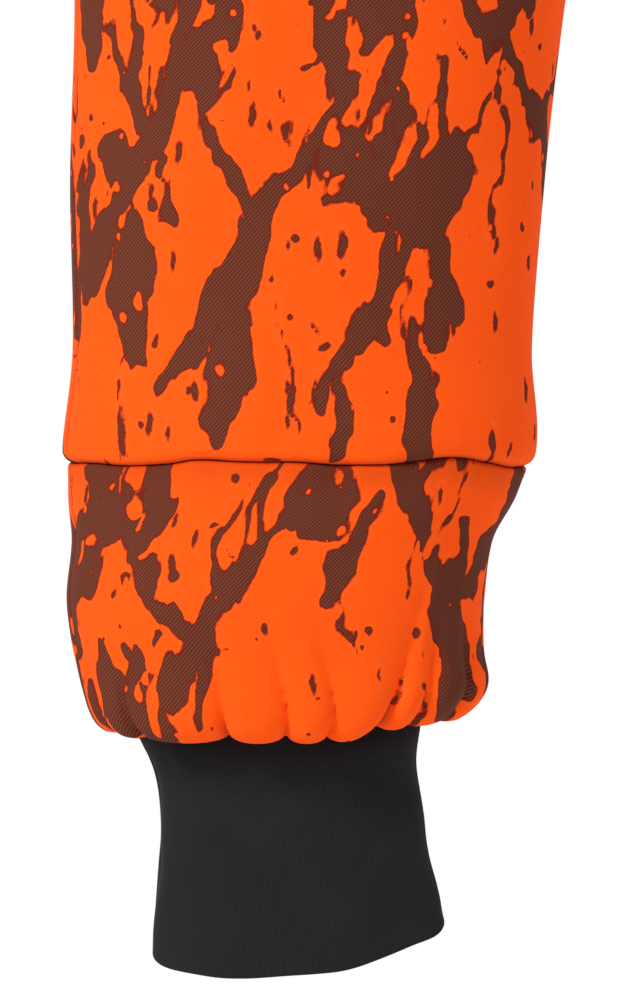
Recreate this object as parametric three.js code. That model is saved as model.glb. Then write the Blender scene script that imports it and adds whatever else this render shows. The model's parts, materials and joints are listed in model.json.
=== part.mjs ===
// An insulated jacket sleeve, taken off the jacket at the armhole: a twill shell over wadding and lining,
// a hem band that blouses over a gathered seam, and a doubled knit cuff that pushes up the forearm.
// Units are millimetres and +Z is up. The sleeve hangs from the armhole, whose centre is the origin.
// +X points to the underarm, -Y to the front of the arm.
import * as THREE from "three";

// ---- Driving dimensions ---------------------------------------------------------------------------------

// Lengths, measured along the sleeve from the hem of the cuff up.
const CUFF_LENGTH = 78.7;
const BAND_LENGTH = 85.3; // from the gathers to the cross seam
const SLEEVE_LENGTH = 406; // from the cross seam to the armhole's cut edge

// Widths of the sleeve laid flat.
const SLEEVE_WIDTH = 150; // at the cross seam
const CUFF_WIDTH = 92; // at the top of the cuff

// Cloth thicknesses, from the outside in.
const SHELL = 0.8;
const SLEEVE_WADDING = 4.0;
const BAND_WADDING = 3.0;
const LINING = 0.5;
const KNIT = 1.2;
const GAP = 0.3; // clearance between any two pieces that touch

// Seams and trimmings.
const SEAM_ALLOWANCE = 5.0; // how far the turned-in edges reach at the cross seam
const SEAM_ROLL = 1.4; // height over which the cloth rolls into that seam
const TURN_ROOM = 0.9; // what the wadding leaves free for a turned edge
const SEAM_THREAD = 0.6; // thickness of a row of stitching
const STITCH_ROW = 1.5; // width of the row that closes the cross seam
const OVERLOCK_REACH = 8.0; // how far the armhole overlock wraps down each face
const OVERLOCK = 0.5; // thickness of its threads on the faces
const EDGE_OVERLOCK = 1.0; // thickness of the threads over the gathered edges
const ELASTIC = 1.2; // thickness of the braided elastic
const ELASTIC_WIDTH = 6.0;
const CUFF_SEAM_WIDTH = 4.0; // the strip of joined edges inside the cuff

// Oval sections up each stretch. at and rise are shares of the stretch's length: along the cloth, and the
// height of the section's centre, which is the same unless rise is given. x is the centre's place in
// millimetres, lean turns the section towards the underarm and pitch tips its front down, in degrees.
// halfWidth and halfDepth are shares of the stretch's flat width.
const CUFF_SECTIONS = [
  { at: 0, rise: 0.127, x: -0.4, lean: -4, pitch: 26, halfWidth: 0.507, halfDepth: 0.196 },
  { at: 0.28, rise: 0.356, x: -1.6, lean: -4, pitch: 14, halfWidth: 0.483, halfDepth: 0.202 },
  { at: 0.57, rise: 0.585, x: -2.6, lean: -2, pitch: 4, halfWidth: 0.457, halfDepth: 0.211 },
  { at: 0.79, x: -4.2, lean: 0, pitch: 0, halfWidth: 0.45, halfDepth: 0.224 },
  { at: 1, x: -7.0, lean: 0, pitch: 0, halfWidth: 0.5, halfDepth: 0.267 },
];
const BAND_SECTIONS = [
  { at: -0.1, x: -7.0, lean: 0, pitch: 0, halfWidth: 0.41, halfDepth: 0.263 },
  { at: 0.23, x: -6.8, lean: 0, pitch: 0, halfWidth: 0.431, halfDepth: 0.273 },
  { at: 0.48, x: -7.6, lean: 0, pitch: 0, halfWidth: 0.443, halfDepth: 0.29 },
  { at: 0.72, x: -5.6, lean: 0, pitch: 0, halfWidth: 0.445, halfDepth: 0.29 },
  { at: 0.89, x: -2.4, lean: 0, pitch: 0, halfWidth: 0.48, halfDepth: 0.293 },
];
const SLEEVE_SECTIONS = [
  { at: 0.015, x: 0.1, lean: 0, pitch: 0, halfWidth: 0.501, halfDepth: 0.3 },
  { at: 0.09, x: 0.7, lean: 0, pitch: 0, halfWidth: 0.485, halfDepth: 0.287 },
  { at: 0.22, x: 2.2, lean: 0, pitch: 0, halfWidth: 0.501, halfDepth: 0.293 },
  { at: 0.36, x: 6.3, lean: 0, pitch: 0, halfWidth: 0.519, halfDepth: 0.313 },
  { at: 0.505, x: 9.5, lean: 8, pitch: 0, halfWidth: 0.547, halfDepth: 0.34 },
  { at: 0.655, rise: 0.648, x: 17, lean: 20, pitch: 0, halfWidth: 0.613, halfDepth: 0.373 },
  { at: 0.803, rise: 0.788, x: 28, lean: 33, pitch: 0, halfWidth: 0.687, halfDepth: 0.4 },
  { at: 1.025, rise: 0.988, x: 48, lean: 49, pitch: 0, halfWidth: 0.76, halfDepth: 0.413 },
];
const SECTION_POWER = 2.3; // 2 is an ellipse, and more is squarer

// Faces round half a section, and rows of faces up each stretch.
const HALF_STEPS = 10;
const SLEEVE_STEPS = 9;
const BAND_STEPS = 3;
const CUFF_STEPS = 7;

// ---- Materials ------------------------------------------------------------------------------------------

const cloth = (color, roughness) => new THREE.MeshStandardMaterial({ color, roughness, metalness: 0 });
const orangeTwill = cloth("#f5681b", 0.85);
const whiteWadding = cloth("#e9e7e2", 1.0);
const greyLining = cloth("#3a3d40", 0.6);
const charcoalKnit = cloth("#292929", 0.9);
const orangeThread = cloth("#e0570f", 0.7);
const blackThread = cloth("#1c1c1c", 0.7);
const whiteElastic = cloth("#dedcd6", 0.8);

// ---- Heights and depths worked out from those -----------------------------------------------------------

const cuffTop = CUFF_LENGTH;
const bandBottom = cuffTop + GAP;
const crossSeam = cuffTop + BAND_LENGTH;
const armholeEdge = crossSeam + SLEEVE_LENGTH;
const aboveSeam = crossSeam + GAP / 2;
const belowSeam = crossSeam - GAP / 2;
const cutEdge = armholeEdge - GAP;
const overlockFoot = cutEdge - OVERLOCK_REACH;
const elasticFoot = bandBottom + SHELL + GAP;
const elasticTop = elasticFoot + ELASTIC_WIDTH;

const rowsBetween = (low, high, steps) =>
  Array.from({ length: steps + 1 }, (_, k) => low + ((high - low) * k) / steps);
const sleeveRows = [...rowsBetween(crossSeam + SEAM_ALLOWANCE, overlockFoot, SLEEVE_STEPS), cutEdge];
const bandRows = rowsBetween(elasticTop + 3 * ELASTIC_WIDTH, crossSeam - 2 * SEAM_ALLOWANCE, BAND_STEPS);
const cuffRows = rowsBetween(CUFF_LENGTH / CUFF_STEPS, cuffTop, CUFF_STEPS - 1);

// Each layer's depth below the shell's outer face.
const waddingInset = SHELL + GAP;
const liningInset = waddingInset + SLEEVE_WADDING + GAP;
const innerFace = liningInset + LINING;

// At the gathers, depth is counted from the cuff's outer face.
const gatherOverlockInset = ELASTIC + GAP;
const gatherLiningInset = gatherOverlockInset + EDGE_OVERLOCK + GAP;
const gatherShellInset = gatherLiningInset + LINING + GAP;

// ---- Sections -------------------------------------------------------------------------------------------

const stations = (sections, foot, length, width) =>
  sections.map(({ at, rise = at, x, lean, pitch, halfWidth, halfDepth }) => {
    const half = { halfWidth: halfWidth * width, halfDepth: halfDepth * width };
    return { v: foot + at * length, z: foot + rise * length, x, lean, pitch, ...half };
  });

const cuffForm = stations(CUFF_SECTIONS, 0, CUFF_LENGTH, CUFF_WIDTH);
const sleeveForm = [
  ...stations(BAND_SECTIONS, cuffTop, BAND_LENGTH, SLEEVE_WIDTH),
  ...stations(SLEEVE_SECTIONS, crossSeam, SLEEVE_LENGTH, SLEEVE_WIDTH),
];
const SECTION_KEYS = ["x", "z", "lean", "pitch", "halfWidth", "halfDepth"];

// A form's section at height v, by a smooth curve through its stations.
function sectionAt(form, v) {
  const last = form.length - 2;
  let i = 0;
  while (i < last && v > form[i + 1].v) i++;
  const [before, from, to, after] = [Math.max(i - 1, 0), i, i + 1, Math.min(i + 2, last + 1)].map((k) => form[k]);
  const span = to.v - from.v;
  const t = (v - from.v) / span;
  const curve = (key) => {
    const startSlope = ((to[key] - before[key]) / (to.v - before.v)) * span;
    const endSlope = ((after[key] - from[key]) / (after.v - from.v)) * span;
    return (
      (2 * t ** 3 - 3 * t ** 2 + 1) * from[key] +
      (t ** 3 - 2 * t ** 2 + t) * startSlope +
      (3 * t ** 2 - 2 * t ** 3) * to[key] +
      (t ** 3 - t ** 2) * endSlope
    );
  };
  return Object.fromEntries(SECTION_KEYS.map((key) => [key, curve(key)]));
}

const armhole = sectionAt(sleeveForm, armholeEdge);
const origin = new THREE.Vector3(armhole.x, 0, armhole.z);
const gatherSection = sectionAt(cuffForm, cuffTop);
const gatherDepth = sectionAt(sleeveForm, bandBottom).halfWidth - gatherSection.halfWidth;

// The shapes that profiles are carried round. turn draws the sleeve in, from 0 on its own outline to 1 on
// the top of the cuff.
const cuffShape = (v) => sectionAt(cuffForm, v);

function sleeveShape(v, turn) {
  const section = sectionAt(sleeveForm, v);
  for (const key of ["x", "halfWidth", "halfDepth"]) {
    section[key] += (gatherSection[key] - section[key]) * turn;
  }
  return section;
}

// How far a section reaches to the side of its centre at depth y.
const sideReach = (a, b, y) => a * (1 - Math.abs(y / b) ** SECTION_POWER) ** (1 / SECTION_POWER);

// The point of a shape at height v, inset below its surface. A stop is a place round the section: an angle,
// or a side (1 or -1) and the distance y from it.
function place(shape, [v, inset, turn = 0], stop) {
  const section = shape(v, turn);
  const a = section.halfWidth - inset;
  const b = section.halfDepth - inset;
  const bend = (w) => Math.sign(w) * Math.abs(w) ** (2 / SECTION_POWER);
  const point = stop.side
    ? new THREE.Vector3(stop.side * sideReach(a, b, stop.y), stop.y, 0)
    : new THREE.Vector3(a * bend(Math.cos(stop.angle)), b * bend(Math.sin(stop.angle)), 0);
  const pitch = THREE.MathUtils.degToRad(section.pitch);
  const lean = THREE.MathUtils.degToRad(section.lean);
  point.applyEuler(new THREE.Euler(pitch, lean, 0, "XYZ"));
  return point.add(new THREE.Vector3(section.x, 0, section.z)).sub(origin);
}

// Stops round the whole section, round the front and back halves, and across a side seam.
const roundStops = Array.from({ length: 2 * HALF_STEPS }, (_, k) => ({ angle: (-Math.PI * k) / HALF_STEPS }));

const halfStops = (front, gap) => {
  const y = (front ? -gap : gap) / 2;
  const start = front ? 0 : HALF_STEPS;
  const between = roundStops.slice(start + 1, start + HALF_STEPS);
  return [{ side: front ? 1 : -1, y }, ...between, { side: front ? -1 : 1, y }];
};

const seamStops = (side, width) => [
  { side, y: (side * width) / 2 },
  { side, y: (-side * width) / 2 },
];

// ---- Solids ---------------------------------------------------------------------------------------------

// A profile is a closed outline of [height, inset, turn] points. Cloth follows a line of such points, given
// from the bottom up, with its thickness laid towards the arm.
function strip(line, thickness) {
  const depth = ([, inset, turn = 0]) => inset + turn * gatherDepth;
  const inner = line.map(([v, inset, turn = 0], k) => {
    const before = line[Math.max(k - 1, 0)];
    const after = line[Math.min(k + 1, line.length - 1)];
    const along = new THREE.Vector2(after[0] - before[0], depth(after) - depth(before)).normalize();
    return [v - along.y * thickness, inset + along.x * thickness, turn];
  });
  return [...line, ...inner.reverse()];
}

const block = (low, high, inset, thickness, turn) => [
  [low, inset, turn],
  [high, inset, turn],
  [high, inset + thickness, turn],
  [low, inset + thickness, turn],
];

// Carries a profile round the given stops: closed into a ring, or a strip's left open with an end at each
// side seam. Every four-sided patch is split from its low corner here to its high corner at the next stop,
// on inner and outer faces alike, so that nested layers bend alike.
function sweep(shape, profile, stops, closed) {
  const grid = stops.map((stop) => profile.map((point) => place(shape, point, stop)));
  const triangles = [];
  const spans = closed ? stops.length : stops.length - 1;
  for (let i = 0; i < spans; i++) {
    const here = grid[i];
    const next = grid[(i + 1) % stops.length];
    profile.forEach(([v], j) => {
      const k = (j + 1) % profile.length;
      const rising = profile[k][0] >= v;
      if (rising) triangles.push([here[j], here[k], next[k]], [here[j], next[k], next[j]]);
      else triangles.push([here[j], here[k], next[j]], [here[k], next[k], next[j]]);
    });
  }
  if (!closed) {
    const first = grid[0];
    const last = grid[grid.length - 1];
    for (let a = 0; a < profile.length / 2 - 1; a++) {
      const b = a + 1;
      const c = profile.length - 1 - b; // the point across the strip from b
      const d = profile.length - 1 - a;
      triangles.push([first[a], first[d], first[c]], [first[a], first[c], first[b]]);
      triangles.push([last[a], last[c], last[d]], [last[a], last[b], last[c]]);
    }
  }
  return outward(triangles);
}

// A geometry from triangles, turned so that its faces point out.
function outward(triangles) {
  const volume = triangles.reduce((sum, [a, b, c]) => sum + a.dot(b.clone().cross(c)), 0);
  const points = triangles.flatMap(([a, b, c]) => (volume < 0 ? [a, c, b] : [a, b, c]));
  return new THREE.BufferGeometry().setFromPoints(points);
}

const sleeve = new THREE.Group();

function add(name, material, geometry) {
  geometry.computeVertexNormals();
  const mesh = new THREE.Mesh(geometry, material);
  mesh.name = name;
  sleeve.add(mesh);
}

const ring = (profile, shape = sleeveShape) => sweep(shape, profile, roundStops, true);

// Makes the front and back panels of one layer. A row of stitching lies in the gap between them.
function panels(name, material, profile, gap = SEAM_THREAD + 2 * GAP) {
  add(`${name}_front`, material, sweep(sleeveShape, profile, halfStops(true, gap), false));
  add(`${name}_back`, material, sweep(sleeveShape, profile, halfStops(false, gap), false));
}

// Makes the rows of stitching that close one layer's two side seams.
function sideSeams(name, material, profile) {
  const sides = { outer: -1, underarm: 1 };
  for (const [where, side] of Object.entries(sides)) {
    const geometry = sweep(sleeveShape, profile, seamStops(side, SEAM_THREAD), false);
    add(`${name}_${where}_seam_thread`, material, geometry);
  }
}

const atInset = (rows, inset) => rows.map((v) => [v, inset]);

// The shell rolls in at the cross seam to a turned edge.
function sleeveShell() {
  const turnedEdge = [
    [aboveSeam, SEAM_ALLOWANCE],
    [aboveSeam, SEAM_ALLOWANCE / 2],
    [aboveSeam + SEAM_ROLL, SHELL],
  ];
  const face = atInset(sleeveRows, 0);
  panels("sleeve_shell", orangeTwill, strip([...turnedEdge, ...face], SHELL));
  sideSeams("shell", orangeThread, strip(face, SEAM_THREAD));
}

function sleeveFilling() {
  const foot = aboveSeam + SHELL + SEAM_THREAD + 3 * GAP;
  const line = [[foot, waddingInset + TURN_ROOM], ...atInset(sleeveRows, waddingInset)];
  panels("sleeve_wadding", whiteWadding, strip(line, SLEEVE_WADDING - TURN_ROOM), GAP);
}

function sleeveLining() {
  const face = atInset(sleeveRows, liningInset);
  panels("sleeve_lining", greyLining, strip([[aboveSeam, liningInset], ...face], LINING));
  sideSeams("lining", blackThread, strip(face, LINING));
}

// The row of stitching that holds the two turned edges together lies on the upper one.
function crossSeamStitching() {
  const low = aboveSeam + SHELL + GAP;
  const row = block(low, low + SEAM_THREAD, SEAM_ALLOWANCE - STITCH_ROW, STITCH_ROW);
  add("cross_seam_thread", orangeThread, ring(row));
}

// The threads that bind the cut edges at the armhole. Their top is flat.
function armholeOverlock() {
  const outside = -GAP;
  const inside = innerFace + GAP;
  const high = armholeEdge + OVERLOCK;
  const profile = [
    [overlockFoot, outside - OVERLOCK],
    [high, outside - OVERLOCK],
    [high, inside + OVERLOCK],
    [overlockFoot, inside + OVERLOCK],
    [overlockFoot, inside],
    [armholeEdge, inside],
    [armholeEdge, outside],
    [overlockFoot, outside],
  ];
  add("armhole_overlock", orangeThread, ring(profile));
}

// The band's shell turns in over the top of the cuff, hangs in a rounded fold, rises to the cross seam and
// rolls in there.
function bandShell() {
  const foldHeight = bandRows[0] - bandBottom;
  const fold = [
    [bandBottom, gatherShellInset, 1],
    [bandBottom, 0, 0.7],
    [bandBottom + 0.09 * foldHeight, 0, 0.4],
    [bandBottom + 0.27 * foldHeight, 0, 0.15],
    [bandBottom + 0.58 * foldHeight, 0, 0.02],
  ];
  const face = atInset(bandRows, 0);
  const turnedEdge = [
    [belowSeam - SEAM_ROLL, SHELL],
    [belowSeam, SEAM_ALLOWANCE / 2],
    [belowSeam, SEAM_ALLOWANCE],
  ];
  panels("band_shell", orangeTwill, strip([...fold, ...face, ...turnedEdge], SHELL));
  sideSeams("band", orangeThread, strip(face, SEAM_THREAD));
}

function bandFilling() {
  const top = belowSeam - 2 * SHELL - GAP;
  const foot = elasticTop + ELASTIC_WIDTH;
  const line = [
    [foot, waddingInset + 2 * TURN_ROOM],
    ...atInset(bandRows, waddingInset),
    [top, waddingInset + TURN_ROOM],
  ];
  panels("band_wadding", whiteWadding, strip(line, BAND_WADDING), GAP);
}

function bandLining() {
  const line = [
    [elasticFoot, gatherLiningInset, 1],
    [elasticTop, gatherLiningInset, 1],
    [elasticTop + ELASTIC_WIDTH, liningInset, 0.6],
    ...atInset([...bandRows, belowSeam], liningInset),
  ];
  panels("band_lining", greyLining, strip(line, LINING), GAP);
}

// The elastic that draws the band in, and the overlock over the joined edges behind it.
function gathers() {
  const elastic = block(elasticFoot, elasticTop, 0, ELASTIC, 1);
  add("gathering_elastic", whiteElastic, ring(elastic));
  const threads = block(elasticFoot, elasticTop, gatherOverlockInset, EDGE_OVERLOCK, 1);
  add("gather_overlock", blackThread, ring(threads));
}

// The cuff is one knit tube folded double at the hem, open between its layers at the top. Its side seam
// lies flat in that hollow.
function knitCuff() {
  const hollow = SEAM_THREAD + 2 * GAP;
  const innerLayer = KNIT + hollow;
  const back = innerLayer + KNIT;
  const profile = [
    ...atInset(cuffRows, 0).reverse(),
    [KNIT, 0.4 * KNIT],
    [0, 1.3 * KNIT],
    [0, back - 1.3 * KNIT],
    [KNIT, back - 0.4 * KNIT],
    ...atInset(cuffRows, back),
    ...atInset(cuffRows, innerLayer).reverse(),
    [2 * KNIT, innerLayer],
    [2 * KNIT, KNIT],
    ...atInset(cuffRows, KNIT),
  ];
  const seamFace = seamStops(1, CUFF_SEAM_WIDTH); // the tube is flat where its joined edges lie
  add("cuff_knit", charcoalKnit, sweep(cuffShape, profile, [...seamFace, ...roundStops.slice(1)], true));
  const threads = strip(atInset(cuffRows, KNIT + GAP), SEAM_THREAD);
  add("cuff_side_seam", blackThread, sweep(cuffShape, threads, seamFace, false));
}

sleeveShell();
sleeveFilling();
sleeveLining();
crossSeamStitching();
armholeOverlock();
bandShell();
bandFilling();
bandLining();
gathers();
knitCuff();

export default sleeve;
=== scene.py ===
"""An insulated jacket sleeve in printed blaze-orange twill, with a gathered hem band and a knit cuff.

The sleeve hangs from its armhole. Every layer is swept round one form, so the layers nest.
Lengths in the tables and fields are millimetres up from the hem of the cuff, and Blender gets metres.
"""

import json
import logging
import math
from dataclasses import dataclass, field, replace
from enum import Enum
from typing import Callable, Sequence

import bpy
import numpy as np
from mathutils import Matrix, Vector


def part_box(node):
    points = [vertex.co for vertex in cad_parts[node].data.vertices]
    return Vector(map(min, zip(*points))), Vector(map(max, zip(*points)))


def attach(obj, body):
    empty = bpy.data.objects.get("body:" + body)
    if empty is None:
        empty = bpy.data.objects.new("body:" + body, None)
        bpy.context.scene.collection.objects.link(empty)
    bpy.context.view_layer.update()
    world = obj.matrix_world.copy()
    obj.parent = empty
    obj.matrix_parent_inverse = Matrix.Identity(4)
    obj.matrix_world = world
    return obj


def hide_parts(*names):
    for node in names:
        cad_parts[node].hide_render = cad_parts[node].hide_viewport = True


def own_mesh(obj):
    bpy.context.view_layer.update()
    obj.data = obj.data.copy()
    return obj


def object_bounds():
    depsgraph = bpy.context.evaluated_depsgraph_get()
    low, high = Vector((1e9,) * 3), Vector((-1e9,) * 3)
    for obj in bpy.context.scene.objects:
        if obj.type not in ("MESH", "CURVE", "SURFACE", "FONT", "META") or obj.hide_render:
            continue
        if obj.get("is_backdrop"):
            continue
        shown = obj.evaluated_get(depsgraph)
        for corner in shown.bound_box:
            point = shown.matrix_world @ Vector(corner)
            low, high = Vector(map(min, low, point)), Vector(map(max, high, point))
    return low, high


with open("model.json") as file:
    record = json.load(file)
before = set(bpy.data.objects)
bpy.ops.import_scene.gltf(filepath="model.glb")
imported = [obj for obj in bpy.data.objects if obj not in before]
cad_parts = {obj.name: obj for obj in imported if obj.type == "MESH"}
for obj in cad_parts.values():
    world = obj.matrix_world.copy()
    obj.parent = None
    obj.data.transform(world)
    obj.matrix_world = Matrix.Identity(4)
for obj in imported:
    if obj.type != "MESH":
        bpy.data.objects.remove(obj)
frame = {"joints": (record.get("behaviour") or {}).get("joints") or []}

Array = np.ndarray
Piece = bpy.types.Object
Material = bpy.types.Material
MM = 0.001
LOG = logging.getLogger("sleeve")
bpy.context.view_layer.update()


# ---- Smooth random values ----


def lattice(ix: Array, iy: Array, seed: int) -> Array:
    """A repeatable random value from -1 to 1 for each whole-number point.

    Args:
        ix: Columns of the points.
        iy: Rows of the points.
        seed: Chooses one field of values.

    Returns:
        The values.
    """
    h = (ix.astype(np.int64) * 374761393 + iy.astype(np.int64) * 668265263 + seed * 362437) & 0xFFFFFFFF
    h = ((h ^ (h >> 13)) * 1274126177) & 0xFFFFFFFF
    h = ((h ^ (h >> 16)) * 2246822519) & 0xFFFFFFFF
    return (h ^ (h >> 15)) / 2147483647.5 - 1.0


def noise(x: Array, y: Array, seed: int, octaves: int = 1) -> Array:
    """Smooth noise over the plane, from about -1 to 1.

    Args:
        x: First coordinate, in steps of the noise.
        y: Second coordinate, in steps of the noise.
        seed: Chooses one field.
        octaves: How many finer layers are added, each half as strong.

    Returns:
        The noise at each point.
    """
    total = np.zeros(np.broadcast(x, y).shape)
    for octave in range(octaves):
        px, py = x * 2**octave, y * 2**octave
        ix, iy = np.floor(px), np.floor(py)
        u, v = px - ix, py - iy
        u, v = u * u * u * (u * (u * 6 - 15) + 10), v * v * v * (v * (v * 6 - 15) + 10)
        low = lattice(ix, iy, seed + octave) * (1 - u) + lattice(ix + 1, iy, seed + octave) * u
        high = lattice(ix, iy + 1, seed + octave) * (1 - u) + lattice(ix + 1, iy + 1, seed + octave) * u
        total = total + (low * (1 - v) + high * v) / 2**octave
    return total


def fade(value: Array, start: float, end: float) -> Array:
    """Rises smoothly from 0 at start to 1 at end."""
    t = np.clip((value - start) / (end - start), 0.0, 1.0)
    return t * t * (3 - 2 * t)


# ---- The form ----


@dataclass(frozen=True)
class Station:
    """One oval section of the form.

    Its height and its centre's height are shares of its stretch's length, half_width and half_depth are
    shares of the stretch's flat width, x is in millimetres, and lean and pitch are in degrees.
    """

    at: float
    x: float
    half_width: float
    half_depth: float
    rise: float | None = None
    lean: float = 0.0
    pitch: float = 0.0

    def row(self, foot: float, length: float, width: float) -> list[float]:
        """The section's height and values in millimetres and degrees."""
        rise = self.at if self.rise is None else self.rise
        across = [self.half_width * width, self.half_depth * width]
        return [foot + self.at * length, self.x, foot + rise * length, self.lean, self.pitch, *across]


CUFF_LENGTH, BAND_LENGTH, SLEEVE_LENGTH = 78.7, 85.3, 406.0
SLEEVE_WIDTH, CUFF_WIDTH = 150.0, 92.0
CUFF_TOP = CUFF_LENGTH
CROSS_SEAM = CUFF_TOP + BAND_LENGTH
ARMHOLE = CROSS_SEAM + SLEEVE_LENGTH
SECTION_POWER = 2.3

CUFF_STATIONS = (
    Station(0.0, -0.4, 0.507, 0.196, rise=0.127, lean=-4, pitch=26),
    Station(0.28, -1.6, 0.483, 0.202, rise=0.356, lean=-4, pitch=14),
    Station(0.57, -2.6, 0.457, 0.211, rise=0.585, lean=-2, pitch=4),
    Station(0.79, -4.2, 0.45, 0.224),
    Station(1.0, -7.0, 0.5, 0.267),
)
BAND_STATIONS = (
    Station(-0.1, -7.0, 0.41, 0.263),
    Station(0.23, -6.8, 0.431, 0.273),
    Station(0.48, -7.6, 0.443, 0.29),
    Station(0.72, -5.6, 0.445, 0.29),
    Station(0.89, -2.4, 0.48, 0.293),
)
SLEEVE_STATIONS = (
    Station(0.015, 0.1, 0.501, 0.3),
    Station(0.09, 0.7, 0.485, 0.287),
    Station(0.22, 2.2, 0.501, 0.293),
    Station(0.36, 6.3, 0.519, 0.313),
    Station(0.505, 9.5, 0.547, 0.34, lean=8),
    Station(0.655, 17, 0.613, 0.373, rise=0.648, lean=20),
    Station(0.803, 28, 0.687, 0.4, rise=0.788, lean=33),
    Station(1.025, 48, 0.76, 0.413, rise=0.988, lean=49),
)


class Form:
    """A smooth curve through stations, which gives the section at any height."""

    def __init__(self, rows: Sequence[Sequence[float]]) -> None:
        """Takes rows of height, x, z, lean, pitch, half width and half depth."""
        table = np.array(rows, float)
        self.heights, self.values = table[:, 0], table[:, 1:]
        rise = np.diff(self.values, axis=0) / np.diff(self.heights)[:, None]
        middle = (self.values[2:] - self.values[:-2]) / (self.heights[2:] - self.heights[:-2])[:, None]
        self.slopes = np.vstack([rise[:1], middle, rise[-1:]])

    def at(self, v: Array) -> Array:
        """The values at each height, with x, z, lean, pitch, half width and half depth on a first axis."""
        v = np.asarray(v, float)
        i = np.clip(np.searchsorted(self.heights, v, side="right") - 1, 0, len(self.heights) - 2)
        span = self.heights[i + 1] - self.heights[i]
        t, span = ((v - self.heights[i]) / span)[..., None], span[..., None]
        curve = (
            (2 * t**3 - 3 * t**2 + 1) * self.values[i]
            + (t**3 - 2 * t**2 + t) * self.slopes[i] * span
            + (3 * t**2 - 2 * t**3) * self.values[i + 1]
            + (t**3 - t**2) * self.slopes[i + 1] * span
        )
        return np.moveaxis(curve, -1, 0)


CUFF_FORM = Form([s.row(0.0, CUFF_LENGTH, CUFF_WIDTH) for s in CUFF_STATIONS])
SLEEVE_FORM = Form(
    [s.row(CUFF_TOP, BAND_LENGTH, SLEEVE_WIDTH) for s in BAND_STATIONS]
    + [s.row(CROSS_SEAM, SLEEVE_LENGTH, SLEEVE_WIDTH) for s in SLEEVE_STATIONS]
)
ORIGIN_X, ORIGIN_Z = SLEEVE_FORM.at(ARMHOLE)[:2]
NECK = CUFF_FORM.at(CUFF_TOP)


def squared(wave: Array) -> Array:
    """A cosine or sine, changed for a squared oval."""
    return np.sign(wave) * np.abs(wave) ** (2 / SECTION_POWER)


def around(form: Form, v: Array, share: Array) -> tuple[Array, Array]:
    """Angles at even lengths of cloth round each section.

    Args:
        form: The form.
        v: Heights, one for each row.
        share: Places round the section, from 0 at the outer side through the front at a quarter and the
            underarm at a half to 1.

    Returns:
        The angles, rows by shares, and the length round each section.
    """
    turn = np.linspace(math.pi, 3 * math.pi, 721)
    whole = np.floor(share)
    angles = np.empty((len(v), len(share)))
    girth = np.empty(len(v))
    for k, height in enumerate(v):
        a, b = form.at(height)[4:]
        x, y = a * squared(np.cos(turn)), b * squared(np.sin(turn))
        run = np.concatenate([[0.0], np.cumsum(np.hypot(np.diff(x), np.diff(y)))])
        girth[k] = run[-1]
        angles[k] = np.interp(share - whole, run / run[-1], turn) + 2 * math.pi * whole
    return angles, girth


def neck_lift(across: Array, v: Array) -> Array:
    """How far the joint of band and cuff is drawn up at its two ends, in millimetres.

    Args:
        across: Places across the section, from -1 at the outer side to 1 at the underarm.
        v: Heights.

    Returns:
        The lift.
    """
    near = fade(v, 22, CUFF_TOP - 6) * fade(v, CROSS_SEAM - 14, CUFF_TOP + 10)
    return near * (6.2 * fade(across, 0.35, 1.0) + 2.6 * fade(-across, 0.7, 1.0))


def surface(
    form: Form,
    v: Array | float,
    angle: Array,
    inset: Array | float = 0.0,
    turn: Array | float = 0.0,
    drop: Array | float = 0.0,
) -> Array:
    """Points of the form in the row frame.

    Args:
        form: The form.
        v: Heights, in millimetres.
        angle: Angles round the section.
        inset: Depth below the surface, in millimetres.
        turn: How far the section is drawn in to the top of the cuff, from 0 to 1.
        drop: How far a point hangs below its place, in millimetres.

    Returns:
        Points in metres, with x, y and z on a last axis.
    """
    v, angle, inset, turn, drop = np.broadcast_arrays(v, angle, inset, turn, drop)
    x0, z0, lean, pitch, a, b = form.at(v)
    x0, a, b = (here + (neck - here) * turn for here, neck in zip((x0, a, b), NECK[[0, 4, 5]]))
    x, y = squared(np.cos(angle)), squared(np.sin(angle))
    nx = np.sign(x) * np.abs(x) ** (SECTION_POWER - 1) / a
    ny = np.sign(y) * np.abs(y) ** (SECTION_POWER - 1) / b
    size = np.hypot(nx, ny)
    drop = drop - neck_lift(x, v)
    x, y = a * x - inset * nx / size, b * y - inset * ny / size
    lean, pitch = np.radians(lean), np.radians(pitch)
    x, z = x * np.cos(lean), -x * np.sin(lean)
    y, z = y * np.cos(pitch) - z * np.sin(pitch), y * np.sin(pitch) + z * np.cos(pitch)
    return np.stack([x + x0 - ORIGIN_X, y, z + z0 - drop - ORIGIN_Z], axis=-1) * MM


# Places all round a section, for rings.
ROUND = np.linspace(0, 1, 361)[:-1]


def seam(form: Form, v: Array | float, angle: Array, inset: float) -> tuple[Array, Array]:
    """A line for stitches below the form's surface, and the way out of the cloth along it."""
    return surface(form, v, angle, inset), surface(form, v, angle) - surface(form, v, angle, 2.0)


def seam_up(form: Form, heights: Array, share: float, inset: float) -> tuple[Array, Array]:
    """A seam up the form, at one share of its sections."""
    return seam(form, heights, around(form, heights, np.array([share]))[0][:, 0], inset)


def seam_round(form: Form, height: float, inset: float) -> tuple[Array, Array]:
    """A seam round the form, at one height."""
    return seam(form, height, around(form, np.array([height]), ROUND)[0][0], inset)


# ---- Meshes ----


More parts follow.
